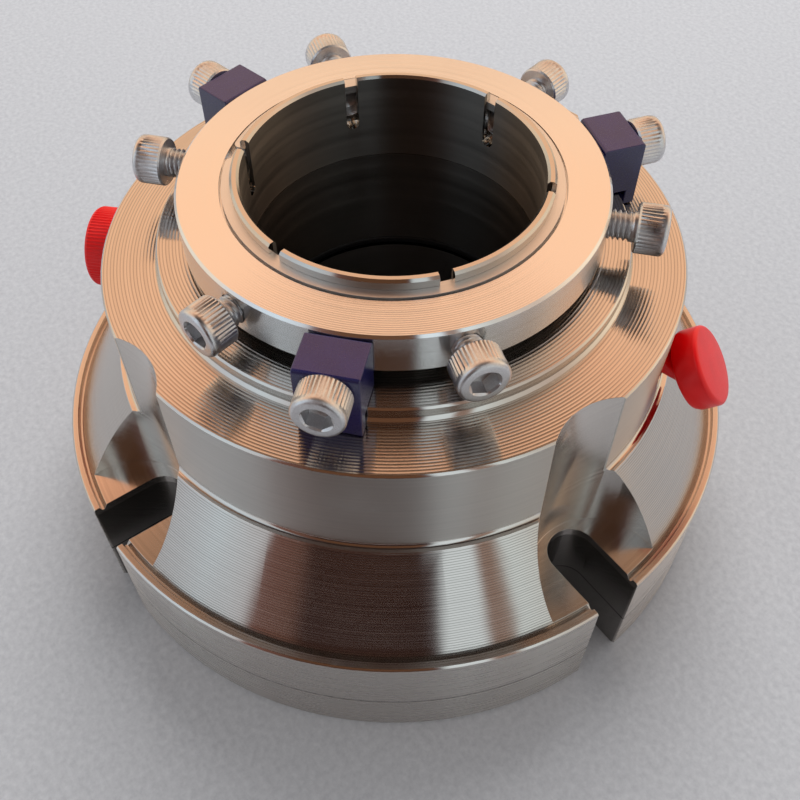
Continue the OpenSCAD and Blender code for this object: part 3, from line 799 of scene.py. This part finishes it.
@dataclass
class PortPlug:
    """A soft moulded plug pushed into a port: a hollow shank and a round cap.

    A plug that hangs askew is pulled out of its port, dropped, tilted by askew_deg and swung by
    swing_deg, and its neck narrows so that the cap clears the hub. The rib is the section of one
    rib's valley, and the crown rows are shares of the face's radius.
    """

    node: str
    skin: PlugSkin
    material: Material
    grow: float = 0.0
    cap_h: float = 8.0 * MM
    askew_deg: float = 0.0
    swing_deg: float = 0.0
    pulled: float = 0.0
    drop: float = 0.0
    neck_r: float | None = None
    back_round: float = 0.3 * MM
    rib_depth: float = 0.18 * MM
    rib: tuple[float, ...] = (0.0, 0.5, 1.0, 0.5)
    ribs: int = 72
    round_edge: float = 0.9 * MM
    edge_steps: int = 6
    rib_fade_steps: int = 3
    rib_margin: float = 0.2 * MM
    crown: float = 0.25 * MM
    crown_rows: tuple[float, ...] = (0.75, 0.5, 0.25, 0.02)
    shank_wall: float = 1.6 * MM
    shank_edge: float = 0.3 * MM
    hollow_middle: float = 0.2 * MM
    neck_from: float = 3.0 * MM
    neck_to: float = 2.5 * MM
    hub_clear: float = 62.0 * MM
    rim_share: float = 0.9
    sharp_deg: float = 40.0

    def build(self) -> Thing:
        """Build the plug where its CAD node lies.

        Returns:
            The plug's piece.
        """
        points = node_points(self.node)
        outer = [p for p in points if p.xy.length > self.hub_clear]
        middle = sum(outer, Vector()) / len(outer)
        angle = math.atan2(middle.y, middle.x)
        out = Vector((math.cos(angle), math.sin(angle), 0.0))
        side = UP.cross(out)
        top, bottom = max(p.z for p in points), min(p.z for p in points)
        height = (top + bottom) / 2
        cap_r = (top - bottom) / 2 + self.grow
        seat = min(p.dot(out) for p in points if abs(p.z - height) > cap_r * self.rim_share)
        shank_r = max(abs(p.dot(side)) for p in points if p.dot(out) < seat - MM)
        depth = seat - min(p.dot(out) for p in points)
        home = outward(angle, seat, height)
        lean = Matrix.Rotation(math.radians(self.swing_deg), 4, "Y")
        lean = lean @ Matrix.Rotation(-math.radians(self.askew_deg), 4, "X")
        held = home @ Matrix.Translation((0.0, -self.drop, self.pulled)) @ lean
        neck = shank_r if self.neck_r is None else self.neck_r
        loops = [[home @ point for point in loop] for loop in self._shank_loops(shank_r, depth, neck)]
        loops += [[held @ point for point in loop] for loop in self._cap_loops(cap_r, neck)]
        mesh = lofted(self.node + "_mesh", loops)
        finish_mesh(mesh, self.sharp_deg, self.material)
        return place_piece("moulded_" + self.node, mesh, "gland", [self.node])

    def _shank_loops(self, shank_r: float, depth: float, neck: float) -> list[list[Vector]]:
        """Give the skin of the shank, from the middle of its hollow to the neck.

        Args:
            shank_r: Radius of the shank.
            depth: Length of the shank.
            neck: Radius of the neck.

        Returns:
            Loops of points.
        """
        inner = shank_r - self.shank_wall
        rows = (
            (self.hollow_middle, -self.shank_wall),
            (inner, -self.shank_wall),
            (inner, -depth),
            (shank_r - self.shank_edge, -depth),
            (shank_r, -depth + self.shank_edge),
            (shank_r, -self.neck_from),
            (neck, -self.neck_to),
        )
        return [self._loop(radius, height) for radius, height in rows]

    def _cap_loops(self, cap_r: float, neck: float) -> list[list[Vector]]:
        """Give the skin of the cap, from the neck to the middle of its face.

        Args:
            cap_r: Radius of the cap.
            neck: Radius of the neck.

        Returns:
            Loops of points, with ribs on the side where it has them.
        """
        deep = self.rib_depth if self.skin is PlugSkin.RIBBED else 0.0
        back, edge = self.back_round, self.round_edge
        rows = [
            (neck, 0.0, 0.0),
            (cap_r - back, 0.0, 0.0),
            (cap_r - back * 0.3, back * 0.3, 0.0),
            (cap_r, back, deep),
            (cap_r, self.cap_h - edge - self.rib_margin, deep),
        ]
        for step in range(self.edge_steps + 1):
            turn = math.pi / 2 * step / self.edge_steps
            radius = cap_r - edge * (1 - math.cos(turn))
            height = self.cap_h - self.crown - edge * (1 - math.sin(turn))
            ribbed = deep * (1 - step / self.edge_steps) if step < self.rib_fade_steps else 0.0
            rows.append((radius, height, ribbed))
        for share in self.crown_rows:
            rows.append(((cap_r - edge) * share, self.cap_h - self.crown * share**2, 0.0))
        return [self._loop(*row) for row in rows]

    def _loop(self, radius: float, height: float, depth: float = 0.0) -> list[Vector]:
        """Give one loop round the plug.

        Args:
            radius: Radius on the ribs' crests.
            height: Height above the cap's back.
            depth: Depth of the ribs' valleys.

        Returns:
            Points, with as many to each rib as its section has.
        """
        around = self.ribs * len(self.rib)
        loop = []
        for i in range(around):
            angle = 2 * math.pi * i / around
            r = radius - depth * self.rib[i % len(self.rib)]
            loop.append(Vector((r * math.cos(angle), r * math.sin(angle), height)))
        return loop


@dataclass
class SealBody:
    """The turned parts, clips and inner parts, which keep their CAD forms and get finishes and soft edges."""

    weld_gap: float = 0.001 * MM
    flat_deg: float = 0.3
    sharp_deg: float = 35.0
    segments: int = 2

    def build(self) -> dict[str, Material]:
        """Give each CAD node its finish, and break the sharp edges of those that show.

        Returns:
            The materials, by their finishes' names.
        """
        built: dict[str, Material] = {}
        for name, node in sorted(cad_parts.items()):
            finish, slot = FINISHES[max((word for word in FINISHES if word in name), key=len)]
            if finish.name not in built:
                built[finish.name] = finish.build()
            node.data.materials.clear()
            node.data.materials.append(built[finish.name])
            for start, width in EDGE_BREAKS.items():
                if name.startswith(start):
                    self._soften(node, width)
            log.info("node %s finished in %s", name, finish.name)
        return built

    def _soften(self, node: Thing, width: float) -> None:
        """Break a part's sharp edges, so that they catch light.

        Args:
            node: CAD node, which keeps its own vertices.
            width: Width of the edge break.
        """
        node.modifiers.new("weld", "WELD").merge_threshold = self.weld_gap
        flatten = node.modifiers.new("flatten", "DECIMATE")
        flatten.decimate_type = "DISSOLVE"
        flatten.angle_limit = math.radians(self.flat_deg)
        bevel = node.modifiers.new("edge_break", "BEVEL")
        bevel.width = width
        bevel.segments = self.segments
        bevel.limit_method = "ANGLE"
        bevel.angle_limit = math.radians(self.sharp_deg)
        node.modifiers.new("even_shading", "WEIGHTED_NORMAL").keep_sharp = True


@dataclass
class PhotoCamera:
    """The picture's camera, solved from the seal's coaxial circles."""

    eye_mm: tuple[float, float, float] = (121.73, -87.10, 207.47)
    elevation_deg: float = 51.999
    roll_deg: float = -0.2755
    focal_px: float = 944.204
    image_px: int = 800
    sensor_mm: float = 36.0
    clip: Band = (0.01, 50.0)

    def build(self) -> None:
        """Make the camera and set it as the scene's own, with plain view settings."""
        tilt, roll = math.radians(self.elevation_deg), math.radians(self.roll_deg)
        forward = math.cos(tilt) * PICTURE_AWAY - math.sin(tilt) * UP
        up = PICTURE_RIGHT.cross(forward)
        right_rolled = math.cos(roll) * PICTURE_RIGHT + math.sin(roll) * up
        up_rolled = math.cos(roll) * up - math.sin(roll) * PICTURE_RIGHT
        data = bpy.data.cameras.new("picture_camera")
        data.sensor_width = self.sensor_mm
        data.lens = self.focal_px * self.sensor_mm / self.image_px
        data.clip_start, data.clip_end = self.clip
        camera = bpy.data.objects.new("picture_camera", data)
        axes = Matrix((right_rolled, up_rolled, -forward)).transposed().to_4x4()
        camera.matrix_world = Matrix.Translation(Vector(self.eye_mm) * MM) @ axes
        scene = bpy.context.scene
        scene.collection.objects.link(camera)
        scene.camera = camera
        scene.view_settings.view_transform = "Standard"


@dataclass
class Table:
    """A table top of pale paper under the seal, which ends a little in front of it."""

    half: float = 3.0
    front: float = 0.18
    colour: str = "#cfcfd1"
    shade: str = "#bdbdc0"
    roughness: float = 0.85
    speck_mm: float = 1.5385
    specks: Band = (0.32, 0.68)

    def build(self) -> None:
        """Make the table top: a dull grey with fine specks, which blur together from afar."""
        half = self.half
        corners = ((-half, -self.front), (half, -self.front), (half, half), (-half, half))
        points = [across * PICTURE_RIGHT + deep * PICTURE_AWAY for across, deep in corners]
        mesh = bpy.data.meshes.new("table_mesh")
        mesh.from_pydata(points, [], [(0, 1, 2, 3)])
        table = bpy.data.objects.new("table", mesh)
        bpy.context.scene.collection.objects.link(table)
        material, tree, shader = new_material("table_pale_paper")
        place = add_node(tree, "ShaderNodeTexCoord").outputs["Object"]
        grain = {"Vector": place, "Scale": 1 / (self.speck_mm * MM), "Detail": 5.0, "Roughness": 0.65}
        speck = add_node(tree, NOISE, grain)
        blend = add_node(tree, RANGE, {0: speck, **spread(self.specks)})
        colours = {"Factor": blend, "A": linear(self.colour), "B": linear(self.shade)}
        mixed = add_node(tree, MIX, colours, data_type="RGBA")
        set_inputs(tree, shader, {"Base Color": mixed, "Roughness": self.roughness})
        mesh.materials.append(material)


@dataclass
class Lamp:
    """One large soft lamp behind the seal to its right, kept out of reflections."""

    size: float = 0.9
    power: float = 9.2
    colour: str = "#ffffff"
    azimuth_deg: float = 82.0
    elevation_deg: float = 50.0
    distance: float = 1.2

    def build(self) -> None:
        """Make the lamp, aimed at the middle of the seal's foot."""
        data = bpy.data.lights.new("soft_lamp", "AREA")
        data.shape = "DISK"
        data.size = self.size
        data.energy = self.power
        data.color = linear(self.colour)[:3]
        lamp = bpy.data.objects.new("soft_lamp", data)
        bpy.context.scene.collection.objects.link(lamp)
        turn, tilt = math.radians(self.azimuth_deg), math.radians(self.elevation_deg)
        level = math.cos(turn) * PICTURE_RIGHT + math.sin(turn) * PICTURE_AWAY
        lamp.location = (math.cos(tilt) * level + math.sin(tilt) * UP) * self.distance
        lamp.rotation_euler = (-lamp.location).to_track_quat("-Z", "Y").to_euler()
        lamp.visible_camera = False
        lamp.visible_glossy = False


@dataclass
class Room:
    """A room that the seal stands in: an even pale light, and for gloss its windows, dark side and ceiling.

    The bands in degrees are elevations over which one look turns into another, and the others are
    parts of a direction that point away from the viewer. The walls' marks are angles from the front,
    past the left at -90 and the right at 90, and the ceiling's are elevations.
    """

    light: float = 0.85
    reflection: float = 1.28
    backdrop: str = "#cfced0"
    front_glow: str = "#62432f"
    front_glow_deg: Band = (9.0, 24.0)
    front_top: str = "#2a201c"
    front_top_deg: Band = (48.0, 66.0)
    eye_level_deg: Band = (11.0, 20.0)
    behind: Band = (-0.1, 0.25)
    soft_pale: str = "#f5f6f9"
    soft_top: str = "#161618"
    soft_top_deg: Band = (50.0, 80.0)
    soft_behind: Band = (-0.6, 0.25)
    soft_share: Band = (0.55, 1.0)
    wall_marks: tuple[tuple[float, str], ...] = (
        (-180.0, "#b9a48c"),
        (-120.0, "#e2d8c6"),
        (-92.0, "#dcd6ca"),
        (-76.0, "#c4cbd4"),
        (-58.0, "#cbd9e2"),
        (-44.0, "#c2c4c8"),
        (-41.0, "#704c42"),
        (-31.0, "#62463c"),
        (-26.0, "#35231f"),
        (8.0, "#2e1e1b"),
        (11.0, "#3c2c2c"),
        (13.5, "#d6e0e4"),
        (24.0, "#d6e0e4"),
        (26.5, "#8a7266"),
        (32.0, "#8c7467"),
        (34.5, "#d4dfe0"),
        (50.0, "#c2beb6"),
        (72.0, "#c4b0a0"),
        (86.0, "#e2cfb8"),
        (102.0, "#ffebcf"),
        (130.0, "#ecd2b2"),
        (180.0, "#b9a48c"),
    )
    ceiling_marks: tuple[tuple[float, str], ...] = (
        (0.0, "#d8c4ac"),
        (24.0, "#efd6b8"),
        (36.0, "#fdc9a0"),
        (48.0, "#fdc8a2"),
        (52.0, "#f0b08a"),
        (57.0, "#a07c62"),
        (66.0, "#745c4a"),
        (71.0, "#40322c"),
        (90.0, "#1a1412"),
    )

    def build(self) -> None:
        """Make the world: a backdrop for the camera, the room for gloss and soft light for the rest."""
        world = bpy.data.worlds.new("room")
        bpy.context.scene.world = world
        world.use_nodes = True
        tree = world.node_tree
        tree.nodes.clear()
        way = add_node(tree, "ShaderNodeTexCoord").outputs["Generated"]
        turned = {"Vector": way, "Angle": -PICTURE_TURN}
        turned = add_node(tree, "ShaderNodeVectorRotate", turned, rotation_type="Z_AXIS")
        side, away, rise = add_node(tree, "ShaderNodeSeparateXYZ", {0: turned}).outputs
        tilt = add_node(tree, MATH, {0: rise}, operation="ARCSINE")
        wall = self._wall(tree, side, away)
        front = self._front(tree, wall, tilt)
        behind = add_node(tree, RANGE, {0: away, **spread(self.behind)})
        upper = self._mix(behind, front, self._ceiling(tree, tilt))
        upper = add_node(tree, MIX, upper, data_type="RGBA")
        risen = add_node(tree, RANGE, {0: tilt, **self._rise(self.eye_level_deg)})
        mirrored = add_node(tree, MIX, self._mix(risen, wall, upper), data_type="RGBA")
        overhead = add_node(tree, RANGE, {0: tilt, **self._rise(self.soft_top_deg)})
        pale = self._mix(overhead, linear(self.soft_pale), linear(self.soft_top))
        pale = add_node(tree, MIX, pale, data_type="RGBA")
        beyond = add_node(tree, RANGE, {0: away, **spread(self.soft_behind, self.soft_share)})
        cast = add_node(tree, MIX, self._mix(beyond, front, pale), data_type="RGBA")
        seen = add_node(tree, "ShaderNodeBackground", {"Color": linear(self.backdrop), "Strength": 1.0})
        even = add_node(tree, "ShaderNodeBackground", {"Color": cast, "Strength": self.light})
        gloss = add_node(tree, "ShaderNodeBackground", {"Color": mirrored, "Strength": self.reflection})
        rays = add_node(tree, "ShaderNodeLightPath").outputs
        lit = add_node(tree, "ShaderNodeMixShader", {0: rays["Is Glossy Ray"], 1: even, 2: gloss})
        shown = add_node(tree, "ShaderNodeMixShader", {0: rays["Is Camera Ray"], 1: lit, 2: seen})
        add_node(tree, "ShaderNodeOutputWorld", {"Surface": shown})

    def _wall(self, tree: Tree, side: Socket, away: Socket) -> Node:
        """Add the room's walls at eye level.

        Args:
            tree: World's node tree.
            side: Part of the direction to the picture's right.
            away: Part of the direction away from the viewer.

        Returns:
            Node with the colour at each angle round the seal.
        """
        near = add_node(tree, MATH, {0: away, 1: -1.0}, operation="MULTIPLY")
        turn = add_node(tree, MATH, {0: side, 1: near}, operation="ARCTAN2")
        share = add_node(tree, RANGE, {0: turn, **spread((-math.pi, math.pi))})
        wall = add_node(tree, "ShaderNodeValToRGB", {0: share})
        fill_ramp(wall, [((angle + 180.0) / 360.0, code) for angle, code in self.wall_marks])
        return wall

    def _ceiling(self, tree: Tree, tilt: Node) -> Node:
        """Add the room behind the seal, from eye level up: pale peach, browner overhead.

        Args:
            tree: World's node tree.
            tilt: Elevation of the direction.

        Returns:
            Node with the colour at each elevation.
        """
        share = add_node(tree, RANGE, {0: tilt, **spread((0.0, math.pi / 2))})
        ceiling = add_node(tree, "ShaderNodeValToRGB", {0: share})
        fill_ramp(ceiling, [(angle / 90.0, code) for angle, code in self.ceiling_marks])
        return ceiling

    def _front(self, tree: Tree, wall: Node, tilt: Node) -> Node:
        """Add the room in front of the seal: its walls with a warm glow above, and dark overhead.

        Args:
            tree: World's node tree.
            wall: Colour of the walls.
            tilt: Elevation of the direction.

        Returns:
            Node with the colour.
        """
        upward = add_node(tree, RANGE, {0: tilt, **self._rise(self.front_glow_deg)})
        glow = self._mix(upward, wall, linear(self.front_glow))
        glow = add_node(tree, MIX, glow, data_type="RGBA", blend_type="LIGHTEN")
        above = add_node(tree, RANGE, {0: tilt, **self._rise(self.front_top_deg)})
        return add_node(tree, MIX, self._mix(above, glow, linear(self.front_top)), data_type="RGBA")

    @staticmethod
    def _rise(band_deg: Band) -> dict[int, float]:
        """Give the numbered inputs that go from 0 to 1 over a band of elevations."""
        return spread((math.radians(band_deg[0]), math.radians(band_deg[1])))

    @staticmethod
    def _mix(factor: Node, first: Node | Colour, second: Node | Colour) -> dict[str, Any]:
        """Give the inputs that go from a first colour to a second."""
        return {"Factor": factor, "A": first, "B": second}


def main() -> None:
    """Build the camera, the surroundings and the seal, in that order."""
    logging.basicConfig(level=logging.INFO, format="%(name)s: %(message)s")
    PhotoCamera().build()
    Table().build()
    Lamp().build()
    Room().build()
    materials = SealBody().build()
    screw_steel, plug_red = materials[SCREW_STEEL.name], materials[PLUG_RED.name]
    for i, spin in enumerate(SCREW_SPINS):
        CapScrew(f"drive_screw_{i + 1}", screw_steel, spin).build()
    for i, spin in enumerate(SCREW_SPINS[:3]):
        CapScrew(f"clip_screw_{i + 1}", screw_steel, spin).build()
    # The right plug hangs askew in its port, its face turned up toward the viewer
    PortPlug(
        "port_plug_right",
        PlugSkin.SMOOTH,
        plug_red,
        cap_h=6.2 * MM,
        askew_deg=37.0,
        swing_deg=9.0,
        pulled=4.4 * MM,
        drop=3.7 * MM,
        neck_r=3.5 * MM,
        back_round=1.5 * MM,
    ).build()
    PortPlug("port_plug_left", PlugSkin.RIBBED, plug_red, grow=0.4 * MM, cap_h=7.2 * MM).build()


if __name__ == "__main__":
    main()
